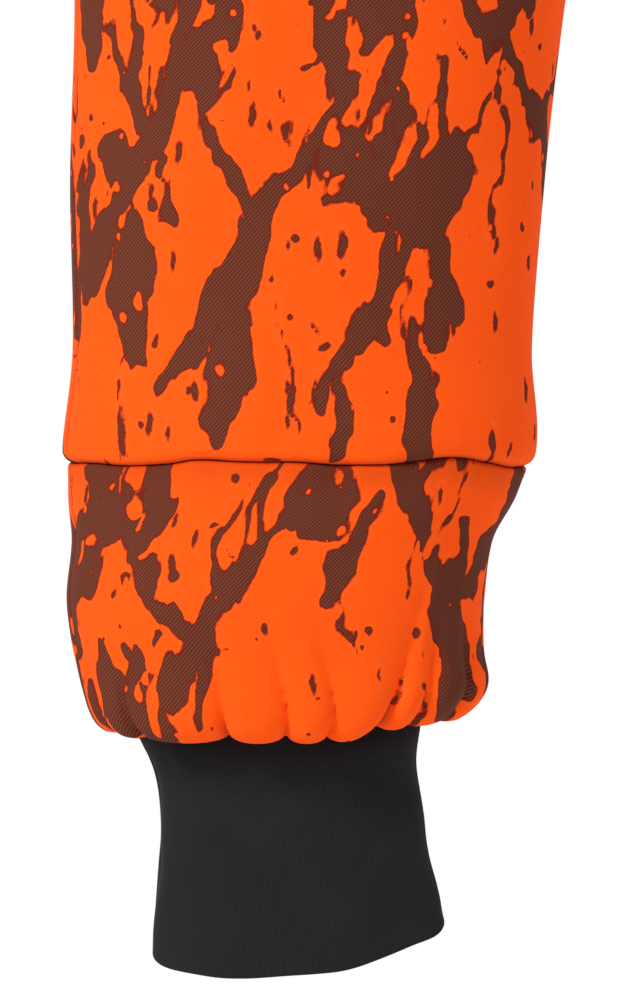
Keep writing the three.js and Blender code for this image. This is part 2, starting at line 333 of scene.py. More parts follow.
def sheet_faces(index: Array, closed: bool, back: int) -> Array:
    """The quads of a sheet with two faces and a rim.

    Args:
        index: Numbers of the outer face's points, in rows.
        closed: Whether the rows are rings, so that only the first and last rows have a rim.
        back: What is added to a point's number for the one behind it.

    Returns:
        Four numbers for each quad.
    """
    corners = index[:-1, :-1], index[:-1, 1:], index[1:, 1:], index[1:, :-1]
    outer = np.stack(corners, axis=-1).reshape(-1, 4)
    rims = [index[0], index[-1, ::-1]]
    if not closed:
        rims += [index[::-1, 0], index[:, -1]]
    edges = np.concatenate([np.stack([rim[1:], rim[:-1]], axis=-1) for rim in rims])
    edges = np.concatenate([edges, edges[:, ::-1] + back], axis=1)
    return np.concatenate([outer, outer[:, ::-1] + back, edges])


@dataclass
class Grid:
    """A sheet of cloth as rows of points, with the place of each point on the flat cloth.

    A closed sheet's rows are rings, and its flat places have one more column, where the ring was cut.
    """

    outer: Array
    inner: Array
    flat: Array
    closed: bool = False

    @classmethod
    def thick(
        cls, outer: Array, ahead: Array, thickness: float, flat: Array, closed: bool = False
    ) -> "Grid":
        """Gives a face of cloth its thickness.

        Args:
            outer: The points of the outer face.
            ahead: The direction along the row at each point.
            thickness: The cloth's thickness, in millimetres.
            flat: The places on the flat cloth.
            closed: Whether the rows are rings.

        Returns:
            The sheet.
        """
        normal = np.cross(ahead, np.gradient(outer, axis=0))
        normal /= np.maximum(np.linalg.norm(normal, axis=-1, keepdims=True), 1e-12)
        return cls(outer, outer - normal * thickness * MM, flat, closed)

    def mesh(self, name: str, attributes: dict[str, Array] | None = None) -> Piece:
        """Builds the sheet as a closed solid: an outer face, an inner face and a rim.

        Args:
            name: The piece's name.
            attributes: Values for each point of the outer face, by attribute name.

        Returns:
            The new object.
        """
        rows, columns = self.outer.shape[:2]
        points = np.concatenate([self.outer.reshape(-1, 3), self.inner.reshape(-1, 3)])
        index = np.arange(rows * columns).reshape(rows, columns)
        if self.closed:
            index = np.concatenate([index, index[:, :1]], axis=1)
        faces = sheet_faces(index, self.closed, rows * columns)
        places = np.arange(self.flat.shape[0] * self.flat.shape[1]).reshape(self.flat.shape[:2])
        uv = self.flat.reshape(-1, 2)[sheet_faces(places, self.closed, 0).ravel()]

        mesh = bpy.data.meshes.new(name)
        mesh.vertices.add(len(points))
        mesh.vertices.foreach_set("co", points.astype(np.float32).ravel())
        mesh.loops.add(faces.size)
        mesh.loops.foreach_set("vertex_index", faces.astype(np.int32).ravel())
        mesh.polygons.add(len(faces))
        mesh.polygons.foreach_set("loop_start", np.arange(0, faces.size, 4, dtype=np.int32))
        mesh.polygons.foreach_set("use_smooth", np.ones(len(faces), bool))
        mesh.uv_layers.new(name="cloth").data.foreach_set("uv", (uv * MM).astype(np.float32).ravel())
        for key, values in (attributes or {}).items():
            both = np.concatenate([values.ravel(), values.ravel()])
            mesh.attributes.new(key, "FLOAT", "POINT").data.foreach_set("value", both.astype(np.float32))
        mesh.update(calc_edges=True)
        mesh.validate()
        piece = bpy.data.objects.new(name, mesh)
        bpy.context.scene.collection.objects.link(piece)
        return piece


def dress(piece: Piece, material: Material, body: str, node: str) -> Piece:
    """Finishes a piece.

    Args:
        piece: The piece.
        material: Its material.
        body: The body that it moves with.
        node: The node that it stands for.

    Returns:
        The piece.
    """
    piece.data.materials.clear()
    piece.data.materials.append(material)
    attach(piece, body)
    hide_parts(node)
    LOG.info("%s: %d faces, on %s", piece.name, len(piece.data.polygons), body)
    return piece


# ---- The printed pattern ----


class Motif(Enum):
    """The kinds of mark in the print."""

    STREAK = "streak"
    BRANCH = "branch"
    BLOT = "blot"
    SPECK = "speck"
    TWIG = "twig"
    SLIT = "slit"


Chain = Sequence[tuple[float, float, float]]

# Marks of each kind on a square decimetre of cloth.
DENSITY = {
    Motif.BRANCH: 1.35,
    Motif.BLOT: 1.9,
    Motif.STREAK: 5.2,
    Motif.SLIT: 5.0,
    Motif.TWIG: 5.5,
    Motif.SPECK: 16.0,
}
# The lengths, radii and greatest slope of the marks that are single strokes.
STROKES = {
    Motif.STREAK: ((20, 72), (2.4, 6.2), 0.18),
    Motif.TWIG: ((16, 56), (0.8, 1.6), 0.25),
    Motif.SLIT: ((5, 20), (0.9, 2.2), 0.15),
}


@dataclass
class BarkPrint:
    """A mottled print of bark, branches and blots, as a field of distances on the flat cloth.

    The field is in millimetres: positive inside the dark marks and negative outside. Chains are strokes of
    (across, up, radius) in millimetres on the flat cloth, and holes are ground colour inside them.
    """

    seed: int
    chains: list[Chain] = field(default_factory=list)
    holes: list[Chain] = field(default_factory=list)

    def cover(self, across: tuple[float, float], up: tuple[float, float]) -> "BarkPrint":
        """Covers a stretch of cloth with marks of every kind.

        Args:
            across: The range across the cloth.
            up: The range up the cloth.

        Returns:
            The print itself.
        """
        area = (across[1] - across[0]) * (up[1] - up[0]) / 10000.0
        for kind, rate in DENSITY.items():
            rng = np.random.default_rng(self.seed * 101 + len(self.chains))
            for _ in range(max(1, round(rate * area))):
                self.scatter(rng, kind, rng.uniform(*across), rng.uniform(*up))
        return self

    def scatter(self, rng: np.random.Generator, kind: Motif, s: float, h: float) -> None:
        """Adds one random mark.

        Args:
            rng: The source of random numbers.
            kind: The kind of mark.
            s: Its place across the cloth.
            h: Its place up the cloth.
        """
        if kind is Motif.SPECK:
            tip = (s + rng.uniform(-1, 1), h + rng.uniform(0, 4), 0.5)
            self.chains.append([(s, h, rng.uniform(0.7, 1.7)), tip])
        elif kind in STROKES:
            lengths, radii, tilt = STROKES[kind]
            length, radius, slope = rng.uniform(*lengths), rng.uniform(*radii), rng.uniform(-tilt, tilt)
            kept = self.holes if kind is Motif.SLIT else self.chains
            kept.append(self.stroke(rng, s, h, slope, length, radius))
        elif kind is Motif.BRANCH:
            slope = rng.choice([-1, 1]) * rng.uniform(0.3, 0.8)
            length, radius = rng.uniform(60, 115), rng.uniform(3.2, 5.6)
            trunk = self.stroke(rng, s, h, slope, length, radius)
            fork = trunk[len(trunk) // 2]
            self.chains += [trunk, self.stroke(rng, fork[0], fork[1], -slope, length * 0.45, radius * 0.6)]
        else:
            for _ in range(rng.integers(3, 6)):
                ds, dh, slope = rng.normal(0, 8), rng.normal(0, 14), rng.uniform(-0.5, 0.5)
                length, radius = rng.uniform(12, 34), rng.uniform(5.0, 10.5)
                self.chains.append(self.stroke(rng, s + ds, h + dh, slope, length, radius))
            for _ in range(rng.integers(3, 7)):
                x, y = s + rng.normal(0, 8), h + 10 + rng.normal(0, 14)
                self.holes.append([(x, y, rng.uniform(0.9, 3.0)), (x, y + rng.uniform(2, 9), 1.0)])

    @staticmethod
    def stroke(
        rng: np.random.Generator, s: float, h: float, slope: float, length: float, radius: float
    ) -> Chain:
        """A wandering stroke that swells in the middle.

        Args:
            rng: The source of random numbers.
            s: Where it starts across the cloth.
            h: Where it starts up the cloth.
            slope: How far it goes sideways for its rise.
            length: How far it rises.
            radius: Half its width in the middle.

        Returns:
            The stroke.
        """
        steps = max(3, int(length / 8))
        chain = []
        for k in range(steps + 1):
            t = k / steps
            swell = 0.35 + 0.65 * math.sin(math.pi * min(1.0, 0.15 + t))
            x = s + slope * length * t + rng.normal(0, 0.9)
            chain.append((x, h + length * t, radius * swell * rng.uniform(0.75, 1.25)))
        return chain

    @staticmethod
    def reach(chains: Sequence[Chain], s: Array, h: Array) -> Array:
        """The distance inside the nearest of some strokes, at most 6 mm outside.

        Args:
            chains: The strokes.
            s: Places across the cloth.
            h: Places up the cloth.

        Returns:
            The distances.
        """
        outside = 6.0
        best = np.full(s.shape, -outside)
        for chain in chains:
            for (s0, h0, r0), (s1, h1, r1) in zip(chain, chain[1:]):
                edge = max(r0, r1) + outside
                near = (s > min(s0, s1) - edge) & (s < max(s0, s1) + edge)
                near &= (h > min(h0, h1) - edge) & (h < max(h0, h1) + edge)
                if not near.any():
                    continue
                ps, ph, ds, dh = s[near] - s0, h[near] - h0, s1 - s0, h1 - h0
                t = np.clip((ps * ds + ph * dh) / max(ds * ds + dh * dh, 1e-6), 0, 1)
                inside = r0 + (r1 - r0) * t - np.hypot(ps - ds * t, ph - dh * t)
                best[near] = np.maximum(best[near], inside)
        return best

    def field(self, flat: Array) -> Array:
        """The print's field at places on the flat cloth, in millimetres."""
        s, h, seed = flat[..., 0], flat[..., 1], self.seed
        ws = s + 2.6 * noise(s / 11, h / 19, seed + 11, 2) + 1.0 * noise(s / 3.1, h / 5.0, seed + 21, 1)
        wh = h + 4.0 * noise(s / 9, h / 17, seed + 31, 2) + 0.9 * noise(s / 3.2, h / 5.5, seed + 41, 1)
        ragged = 0.6 * noise(s / 2.2, h / 5.5, seed + 51, 2)
        inside = np.minimum(self.reach(self.chains, ws, wh) + ragged, -self.reach(self.holes, ws, wh))
        return np.clip(inside, -5.0, 5.0)


# ---- Finishes ----


Value = bpy.types.NodeSocket | float
Colour = tuple[float, float, float, float]


def add_node(
    tree: bpy.types.NodeTree, kind: str, inputs: dict | None = None, **settings: object
) -> bpy.types.Node:
    """Adds a node to a tree.

    Args:
        tree: The tree.
        kind: The node's type.
        inputs: Values or sockets, by input name or number.
        **settings: The node's own properties.

    Returns:
        The node.
    """
    node = tree.nodes.new(kind)
    for key, value in settings.items():
        setattr(node, key, value)
    for key, value in (inputs or {}).items():
        if isinstance(value, bpy.types.NodeSocket):
            tree.links.new(value, node.inputs[key])
        else:
            node.inputs[key].default_value = value
    return node


class Graph:
    """Builds a material's nodes: each call adds a node, sets or links its inputs, and gives its output."""

    def __init__(self, name: str, solid: bool = False) -> None:
        """Starts a material on the flat cloth's coordinates or, where it is solid, on the object's."""
        self.material = bpy.data.materials.new(name)
        self.material.use_nodes = True
        self.tree = self.material.node_tree
        self.tree.nodes.clear()
        self.place = self.add("TexCoord", output="Object") if solid else self.add("UVMap", uv_map="cloth")

    def add(self, kind: str, inputs: dict | None = None, output: int | str = 0, **settings: object) -> Value:
        """Adds a shader node of a type, without its ShaderNode, and gives one of its outputs."""
        return add_node(self.tree, "ShaderNode" + kind, inputs, **settings).outputs[output]

    def math(self, operation: str, *values: Value) -> Value:
        """A Math node on up to three values or sockets."""
        return self.add("Math", dict(enumerate(values)), operation=operation)

    def plus(self, a: Value, b: Value) -> Value:
        """A sum."""
        return self.math("ADD", a, b)

    def minus(self, a: Value, b: Value) -> Value:
        """A difference."""
        return self.math("SUBTRACT", a, b)

    def times(self, a: Value, b: Value) -> Value:
        """A product."""
        return self.math("MULTIPLY", a, b)

    def step(self, value: Value, low: float, high: float) -> Value:
        """Rises smoothly from 0 to 1 as the value goes from low to high."""
        inputs = {"Value": value, "From Min": low, "From Max": high}
        return self.add("MapRange", inputs, interpolation_type="SMOOTHSTEP")

    def mix(self, factor: Value, a: Value | Colour, b: Value | Colour) -> Value:
        """Mixes two colours."""
        return self.add("Mix", {0: factor, 6: a, 7: b}, output=2, data_type="RGBA")

    def attribute(self, name: str) -> Value:
        """A number that the mesh carries at each point."""
        return self.add("Attribute", output="Fac", attribute_name=name)

    def noise(self, scale: float, detail: float, **more: float) -> Value:
        """Noise from 0 to 1."""
        return self.add("TexNoise", {"Vector": self.place, "Scale": scale, "Detail": detail, **more})

    def bands(self, pitch: float, angle: float, wobble: float = 0.0, seed: float = 0.0) -> Value:
        """Even bands across the flat cloth, as a wave from 0 to 1.

        Args:
            pitch: Distance from band to band, in metres.
            angle: The bands' direction, in degrees from across the cloth.
            wobble: How unsteady the bands are.
            seed: Moves the unsteadiness.

        Returns:
            The wave's socket.
        """
        turn = (0, 0, math.radians(90 - angle))
        turned = self.add("Mapping", {"Vector": self.place, "Rotation": turn, "Location": (seed, 0, 0)})
        inputs = {"Vector": turned, "Scale": math.pi / 10 / pitch, "Distortion": wobble}
        inputs |= {"Detail": 2.0, "Detail Scale": 2.0}
        return self.add("TexWave", inputs, output="Fac")

    def flecks(self, wide: float, tall: float, rare: float, size: float, shift: float) -> Value:
        """Scattered upright flecks, as a distance inside them in millimetres.

        Args:
            wide: The room for one fleck across, in millimetres.
            tall: The room for one fleck up, in millimetres.
            rare: The share of the places left empty.
            size: The largest fleck, as a share of its room.
            shift: Moves the flecks.

        Returns:
            The distance's socket.
        """
        bent = self.add("TexNoise", {"Vector": self.place, "Scale": 190.0, "Detail": 2.0}, output="Color")
        moved = self.add("VectorMath", {0: bent, "Scale": 3.0 * MM}, operation="SCALE")
        moved = self.add("VectorMath", {0: self.place, 1: moved}, operation="ADD")
        scale = (1 / (wide * MM), 1 / (tall * MM), 1.0)
        cells = self.add("Mapping", {"Vector": moved, "Scale": scale, "Location": (shift, shift, 0)})
        voronoi = self.add("TexVoronoi", {"Vector": cells, "Scale": 1.0}, voronoi_dimensions="2D").node
        chance = self.add("SeparateColor", {0: voronoi.outputs["Color"]})
        room = self.times(self.math("MAXIMUM", self.minus(chance, rare), -0.2), size / (1 - rare))
        return self.times(self.minus(room, voronoi.outputs["Distance"]), wide)

    def finish(self, shader: dict, height: Value, strength: float, distance: float) -> Material:
        """Closes the material.

        Args:
            shader: The Principled shader's inputs.
            height: The relief's height.
            strength: The strength of its bump.
            distance: The greatest depth of the bump, in millimetres.

        Returns:
            The material.
        """
        bump = self.add("Bump", {"Height": height, "Strength": strength, "Distance": distance * MM})
        principled = self.add("BsdfPrincipled", {**shader, "Normal": bump})
        add_node(self.tree, "ShaderNodeOutputMaterial", {"Surface": principled})
        return self.material


@dataclass(frozen=True)
class PrintedTwill:
    """Blaze-orange brushed twill with a dark brown print, painted shade in its grooves and creases, and a
    painted red glow.
    """

    ground: Colour = (0.92, 0.138, 0.007, 1)
    ground_shade: Colour = (0.84, 0.088, 0.0045, 1)
    halo: Colour = (0.95, 0.16, 0.018, 1)
    mark: Colour = (0.125, 0.027, 0.014, 1)
    mark_thread: Colour = (0.37, 0.098, 0.050, 1)
    outline: Colour = (0.22, 0.014, 0.004, 1)
    painted_crease_shade: Colour = (0.16, 0.012, 0.002, 1)
    light: Colour = (1.0, 0.035, 0.0, 1)
    painted_glow_strength: float = 0.34
    twill_pitch: float = 0.96 * MM
    weft_pitch: float = 0.55 * MM
    twill_angle: float = 48.0
    edge: float = 0.22

    def material(self) -> Material:
        """Builds the material."""
        g = Graph("blaze_orange_twill")
        small, large = g.flecks(7.5, 23.0, 0.6, 0.17, 0.0), g.flecks(16.0, 19.0, 0.6, 0.12, 3.3)
        flecks, dots = g.math("MAXIMUM", small, large), g.flecks(11.0, 14.0, 0.5, 0.13, 7.7)
        inside = g.math("MINIMUM", g.math("MAXIMUM", g.attribute("print"), flecks), g.times(dots, -1.0))
        torn = g.plus(inside, g.times(g.minus(g.noise(620.0, 3.0), 0.5), 0.7))
        marked = g.step(torn, -self.edge, self.edge)
        near = g.times(g.step(torn, -1.6, -0.3), g.minus(1.0, marked))
        twill = g.bands(self.twill_pitch, self.twill_angle, wobble=0.35)
        weft = g.bands(self.weft_pitch, self.twill_angle + 84, wobble=0.5, seed=0.2)
        ridge = g.times(g.step(twill, 0.25, 0.85), g.plus(0.65, g.times(weft, 0.35)))
        ground = g.mix(g.times(g.minus(1.0, ridge), 0.75), self.ground, self.ground_shade)
        ground = g.mix(g.times(near, 0.25), ground, self.halo)
        ground = g.mix(g.times(g.step(g.noise(26.0, 3.0), 0.35, 0.8), 0.16), ground, self.ground_shade)
        mark = g.mix(g.times(ridge, 0.55), self.mark, self.mark_thread)
        rim = g.times(g.step(torn, -0.45, 0.15), g.minus(1.0, g.step(torn, 0.2, 0.95)))
        colour = g.mix(g.times(rim, 0.7), g.mix(marked, ground, mark), self.outline)
        # Painted shade: where the depth attribute is high, in seam grooves and gather creases, the orange
        # darkens to a dark red and loses its glow.
        painted_shade = g.attribute("depth")
        colour = g.mix(g.times(painted_shade, 0.6), colour, self.painted_crease_shade)
        # Painted glow: a red emission on the orange ground, standing in for the orange's fluorescence, keeps
        # shaded cloth red; it is off on the print and in the painted shade.
        shader = {
            "Base Color": colour,
            "Roughness": 0.82,
            "Specular IOR Level": 0.12,
            "Sheen Weight": 0.03,
            "Sheen Roughness": 0.45,
            "Emission Color": g.mix(g.math("MAXIMUM", marked, painted_shade), self.light, (0.0, 0.0, 0.0, 1)),
            "Emission Strength": self.painted_glow_strength,
        }
        height = g.plus(g.times(ridge, 0.8), g.times(g.noise(2400.0, 2.0), 0.35))
        return g.finish(shader, height, 0.35, 0.16)


@dataclass(frozen=True)
class Knit:
    """Fine charcoal knit, with painted shadow at the top of the cuff under the band's fold."""

    yarn: Colour = (0.0245, 0.0255, 0.0262, 1)
    shadow: Colour = (0.008, 0.008, 0.0085, 1)
    painted_fold_shadow: Colour = (0.007, 0.0035, 0.003, 1)
    wale: float = 0.95 * MM
    plait: float = 0.8 * MM

    def material(self) -> Material:
        """Builds the material."""
        g = Graph("charcoal_knit")
        wales = g.bands(self.wale, 90, wobble=0.25)
        left, right = g.bands(self.plait, 38, wobble=0.4), g.bands(self.plait, 142, wobble=0.4, seed=0.4)
        plait = g.plus(g.times(wales, 0.55), g.times(g.math("MAXIMUM", left, right), 0.45))
        worn = g.plus(g.times(plait, 0.7), g.times(g.noise(30.0, 2.0), 0.45))
        colour = g.mix(g.step(worn, 0.15, 0.95), self.shadow, self.yarn)
        # Painted shadow: where the depth attribute is high, at the top of the cuff under the band's fold,
        # the knit darkens to a warm black.
        shader = {
            "Base Color": g.mix(g.times(g.attribute("depth"), 0.8), colour, self.painted_fold_shadow),
            "Roughness": 0.88,
            "Specular IOR Level": 0.15,
            "Sheen Weight": 0.06,
            "Sheen Roughness": 0.5,
            "Sheen Tint": (0.75, 0.78, 0.82, 1),
        }
        return g.finish(shader, g.plus(plait, g.times(g.noise(1500.0, 3.0), 0.4)), 0.3, 0.18)


@dataclass(frozen=True)
class Lining:
    """Smooth dark grey plain-woven lining."""

    warp: Colour = (0.050, 0.054, 0.060, 1)
    weft: Colour = (0.030, 0.033, 0.037, 1)
    pitch: float = 0.42 * MM

    def material(self) -> Material:
        """Builds the material."""
        g = Graph("grey_lining")
        warp, weft = g.bands(self.pitch, 90, wobble=0.3), g.bands(self.pitch, 0, wobble=0.3, seed=0.3)
        weave = g.math("ABSOLUTE", g.minus(warp, weft))
        colour = g.mix(g.plus(g.times(weave, 0.6), g.times(g.noise(40.0, 3.0), 0.4)), self.weft, self.warp)
        shader = {"Base Color": colour, "Roughness": 0.46, "Specular IOR Level": 0.45, "Sheen Weight": 0.1}
        return g.finish(shader, weave, 0.2, 0.08)


@dataclass(frozen=True)
class Thread:
    """Twisted sewing thread."""

    name: str
    colour: Colour
    dark: Colour

    def material(self) -> Material:
        """Builds the material."""
        g = Graph(self.name, solid=True)
        inputs = {"Vector": g.place, "Scale": 420.0, "Distortion": 3.0, "Detail": 2.0}
        ply = g.add("TexWave", inputs, output="Fac", bands_direction="DIAGONAL")
        colour = g.mix(g.times(g.plus(ply, g.noise(900.0, 2.0)), 0.5), self.dark, self.colour)
        shader = {"Base Color": colour, "Roughness": 0.55, "Specular IOR Level": 0.4, "Sheen Weight": 0.2}
        return g.finish(shader, ply, 0.4, 0.1)


@dataclass(frozen=True)
class Wadding:
    """Bonded white polyester wadding."""

    fibre: Colour = (0.80, 0.79, 0.76, 1)
    hollow: Colour = (0.55, 0.54, 0.52, 1)

    def material(self) -> Material:
        """Builds the material."""
        g = Graph("white_wadding", solid=True)
        depth = g.times(g.plus(g.noise(700.0, 6.0, Distortion=3.0), g.noise(90.0, 4.0)), 0.5)
        colour = g.mix(g.step(depth, 0.35, 0.6), self.hollow, self.fibre)
        return g.finish({"Base Color": colour, "Roughness": 0.95, "Sheen Weight": 0.3}, depth, 0.8, 0.6)


@dataclass(frozen=True)
class Elastic:
    """Braided white elastic."""

    cord: Colour = (0.74, 0.72, 0.68, 1)
    gap: Colour = (0.42, 0.40, 0.37, 1)

    def material(self) -> Material:
        """Builds the material."""
        g = Graph("white_elastic")
        ribs, braid = g.bands(1.0 * MM, 0, wobble=0.2), g.bands(0.9 * MM, 62, wobble=0.3, seed=0.1)
        height = g.plus(g.times(ribs, 0.6), g.times(braid, 0.4))
        colour = g.mix(g.step(height, 0.2, 0.8), self.gap, self.cord)
        return g.finish({"Base Color": colour, "Roughness": 0.7}, height, 0.5, 0.2)


@dataclass(frozen=True)
class PalePaper:
    """The studio's floor."""

    paper: Colour = (0.90, 0.90, 0.90, 1)
    fleck: Colour = (0.84, 0.84, 0.84, 1)

    def material(self) -> Material:
        """Builds the material."""
        g = Graph("pale_floor", solid=True)
        grain = g.noise(60.0, 4.0)
        colour = g.mix(g.times(grain, 0.15), self.paper, self.fleck)
        return g.finish({"Base Color": colour, "Roughness": 0.9}, grain, 0.05, 0.2)


class Palette:
    """The materials, made once."""

    def __init__(self) -> None:
        """Builds each material."""
        self.twill = PrintedTwill().material()
        self.knit = Knit().material()
        self.lining = Lining().material()
        self.wadding = Wadding().material()
        self.elastic = Elastic().material()
        self.orange = Thread("orange_thread", (0.85, 0.12, 0.01, 1), (0.5, 0.06, 0.006, 1)).material()
        self.black = Thread("black_thread", (0.030, 0.030, 0.032, 1), (0.010, 0.010, 0.010, 1)).material()


# ---- Stitches, by Geometry Nodes ----


class StitchKind(Enum):
    """How a row of thread is sewn."""

    LOCKSTITCH = "lockstitch"
    OVERLOCK = "overlock"


@dataclass
class StitchRow:
    """A row of stitches along a path, grown by Geometry Nodes.

    pitch is the distance from stitch to stitch, thread the thread's radius, and reach and wrap the half
    length of a stitch along and across the path, all in millimetres. slant is how far a loop leans.
    """

    name: str
    kind: StitchKind
    pitch: float
    thread: float
    reach: float
    wrap: float
    material: Material
    slant: float = 0.0

    def tree(self) -> bpy.types.NodeTree:
        """Builds the node tree: a stitch on each point of the path, turned by the path's own axes."""
        tree = bpy.data.node_groups.new(self.name + "_stitches", "GeometryNodeTree")
        tree.interface.new_socket("Geometry", in_out="INPUT", socket_type="NodeSocketGeometry")
        for label in ("Thread", "Reach", "Wrap"):
            tree.interface.new_socket(label, in_out="INPUT", socket_type="NodeSocketFloat")
        tree.interface.new_socket("Geometry", in_out="OUTPUT", socket_type="NodeSocketGeometry")
        start = tree.nodes.new("NodeGroupInput").outputs

        def add(kind: str, inputs: dict, **settings: object) -> bpy.types.NodeSocket:
            """Adds a node and gives its first output."""
            return add_node(tree, kind, inputs, **settings).outputs[0]

        loop = self.kind is StitchKind.OVERLOCK
        turns = {"Resolution": 18 if loop else 10, "Rotations": 0.98 if loop else 0.5, "Height": 0.0}
        spiral = add("GeometryNodeCurveSpiral", {**turns, "Start Radius": 1.0, "End Radius": 1.0})
        scale = add("ShaderNodeCombineXYZ", {"X": start["Reach"], "Y": start["Wrap"], "Z": 1.0})
        shaped = add("GeometryNodeTransform", {"Geometry": spiral, "Scale": scale})
        circle = add("GeometryNodeCurvePrimitiveCircle", {"Resolution": 5, "Radius": start["Thread"]})
        bent = {"Curve": shaped, "Profile Curve": circle, "Fill Caps": True}
        strand = add("GeometryNodeCurveToMesh", bent)
        named, align = "GeometryNodeInputNamedAttribute", "FunctionNodeAlignRotationToVector"
        along, across = (add(named, {"Name": key}, data_type="FLOAT_VECTOR") for key in ("along", "across"))
        turn = add(align, {"Vector": along}, axis="X")
        turn = add(align, {"Rotation": turn, "Vector": across}, axis="Y", pivot_axis="X")
        placed = {"Points": start["Geometry"], "Instance": strand, "Rotation": turn}
        instances = add("GeometryNodeInstanceOnPoints", placed)
        real = add("GeometryNodeRealizeInstances", {"Geometry": instances})
        dressed = add("GeometryNodeSetMaterial", {"Geometry": real, "Material": self.material})
        add_node(tree, "NodeGroupOutput", {"Geometry": dressed})
        return tree

    def sew(self, line: Array, out: Array, closed: bool = False) -> Piece:
        """Sews the row.

        Args:
            line: The points of the line that it follows, in metres.
            out: The way out of the cloth at each of them.
            closed: Whether the line is a ring.

        Returns:
            The row as a plain mesh.
        """
        places, along, across = spaced(line, out, self.pitch * MM, closed)
        if self.kind is StitchKind.OVERLOCK:
            up = np.cross(along, across)
            along = (up * np.sign(up[:, 2:3]) if closed else up) + self.slant * along
        mesh = bpy.data.meshes.new(self.name + "_path")
        mesh.from_pydata([tuple(place) for place in places], [], [])
        for key, values in (("along", along), ("across", across)):
            attribute = mesh.attributes.new(key, "FLOAT_VECTOR", "POINT")
            attribute.data.foreach_set("vector", values.astype(np.float32).ravel())
        path = bpy.data.objects.new(self.name + "_path", mesh)
        bpy.context.scene.collection.objects.link(path)
        modifier = path.modifiers.new("stitches", "NODES")
        modifier.node_group = self.tree()
        sizes = {"Thread": self.thread, "Reach": self.reach, "Wrap": self.wrap}
        for item in modifier.node_group.interface.items_tree:
            if item.in_out == "INPUT" and item.name in sizes:
                modifier[item.identifier] = sizes[item.name] * MM
        made = bpy.data.meshes.new_from_object(path.evaluated_get(bpy.context.evaluated_depsgraph_get()))
        bpy.data.objects.remove(path)
        made.name = self.name
        for key in ("along", "across"):
            if key in made.attributes:
                made.attributes.remove(made.attributes[key])
        made.polygons.foreach_set("use_smooth", np.ones(len(made.polygons), bool))
        piece = bpy.data.objects.new(self.name, made)
        bpy.context.scene.collection.objects.link(piece)
        return piece


def spaced(line: Array, normal: Array, pitch: float, closed: bool) -> tuple[Array, ...]:
    """Even places along a line.

    Args:
        line: The line's points.
        normal: A direction at each of them.
        pitch: The distance wanted from place to place, in metres.
        closed: Whether the line is a ring.

    Returns:
        The places, the line's direction there and the given direction there.
    """
    if closed:
        line, normal = np.vstack([line, line[:1]]), np.vstack([normal, normal[:1]])
    run = np.concatenate([[0.0], np.cumsum(np.linalg.norm(np.diff(line, axis=0), axis=1))])
    count = max(2, round(run[-1] / pitch))
    at = (np.arange(count) + 0.5) * run[-1] / count

    def pick(values: Array, where: Array) -> Array:
        """The values at distances along the line."""
        return np.stack([np.interp(where, run, values[:, k]) for k in range(3)], axis=-1)

    along = pick(line, np.minimum(at + 0.4 * pitch, run[-1])) - pick(line, np.maximum(at - 0.4 * pitch, 0))
    across = pick(normal, at)
    along, across = (values / np.linalg.norm(values, axis=1, keepdims=True) for values in (along, across))
    return pick(line, at), along, across


# ---- Gathers and other relief ----


@dataclass(frozen=True)
class Gathers:
    """The folds where the band is drawn in: rounded puffs between creases.

    creases are their places round the band, in millimetres of cloth from the middle of the front, depths
    say how deep each one is, and girth is the length of cloth round the band. lifted is where the fold
    hangs higher, by lift.
    """

    creases: tuple[float, ...] = (
        -148, -127, -108, -88, -71, -56, -23, -2, 13, 32, 43, 60, 74, 93, 112, 131, 150,
    )
    depths: tuple[float, ...] = (
        0.8, 1.0, 0.7, 1.0, 0.8, 0.7, 0.95, 0.9, 0.8, 1.1, 0.8, 1.0, 0.8, 1.0, 0.75, 1.0, 0.9,
    )
    girth: float = 335.0
    top: float = CUFF_TOP + 6.0
    fade_length: float = 13.0
    crease_depth: float = 5.0
    puff_height: float = 1.5
    puff_sag: float = 0.9
    crease_rise: float = 4.0
    lifted: float = 31.0
    lift: float = 2.2
    lift_width: float = 8.0

    def puffs(self, s: Array, v: Array) -> tuple[Array, Array]:
        """Where each point lies among the puffs.

        Args:
            s: Places round the band, in millimetres of cloth from the middle of the front.
            v: Heights.

        Returns:
            How round the cloth is there, from 0 in a crease to 1 on a puff, and how deep the creases are.
        """
        count, depth, shape = len(self.creases), np.array(self.depths), s.shape
        slant = np.random.default_rng(5).uniform(-0.22, 0.22, count)
        s, lift = s.ravel(), np.clip(v.ravel() - self.top, 0, None)
        places = np.array(self.creases, float)[:, None] + slant[:, None] * lift
        order = (s >= places).sum(axis=0) - 1
        low, high, column = order % count, (order + 1) % count, np.arange(s.size)
        start = places[low, column] - np.where(order < 0, self.girth, 0)
        end = places[high, column] + np.where(order + 1 >= count, self.girth, 0)
        t = np.clip((s - start) / np.maximum(end - start, 1e-3), 0, 1)
        bulge = (4 * t * (1 - t)) ** (0.36 + 0.84 * fade(lift, 0, 26))
        return bulge.reshape(shape), (depth[low] * (1 - t) + depth[high] * t).reshape(shape)

    def folds(self, s: Array, v: Array) -> tuple[Array, Array, Array]:
        """The shape of the folds.

        Args:
            s: Places round the band, in millimetres of cloth from the middle of the front.
            v: Heights.

        Returns:
            How far the cloth stands out and how far it hangs below its place, in millimetres, and how deep
            in a crease it lies, from 0 to 1, which is painted as shade.
        """
        bulge, depth = self.puffs(s, v)
        pinch = depth * (1 - bulge)
        strength = np.exp(-np.clip(v - self.top, 0, None) / self.fade_length)
        raised = self.lift * np.exp(-(((s - self.lifted) / self.lift_width) ** 2))
        # Painted shade: strongest in the creases just above the top of the cuff, fading upwards, and none in
        # the band's top 30 mm.
        painted_shade = np.exp(-np.clip(v - CUFF_TOP, 0, None) / 9.0) * (v < CROSS_SEAM - 30) * pinch
        relief = strength * (self.puff_height * bulge - self.crease_depth * pinch)
        return relief, self.puff_sag * bulge - self.crease_rise * pinch - raised, painted_shade


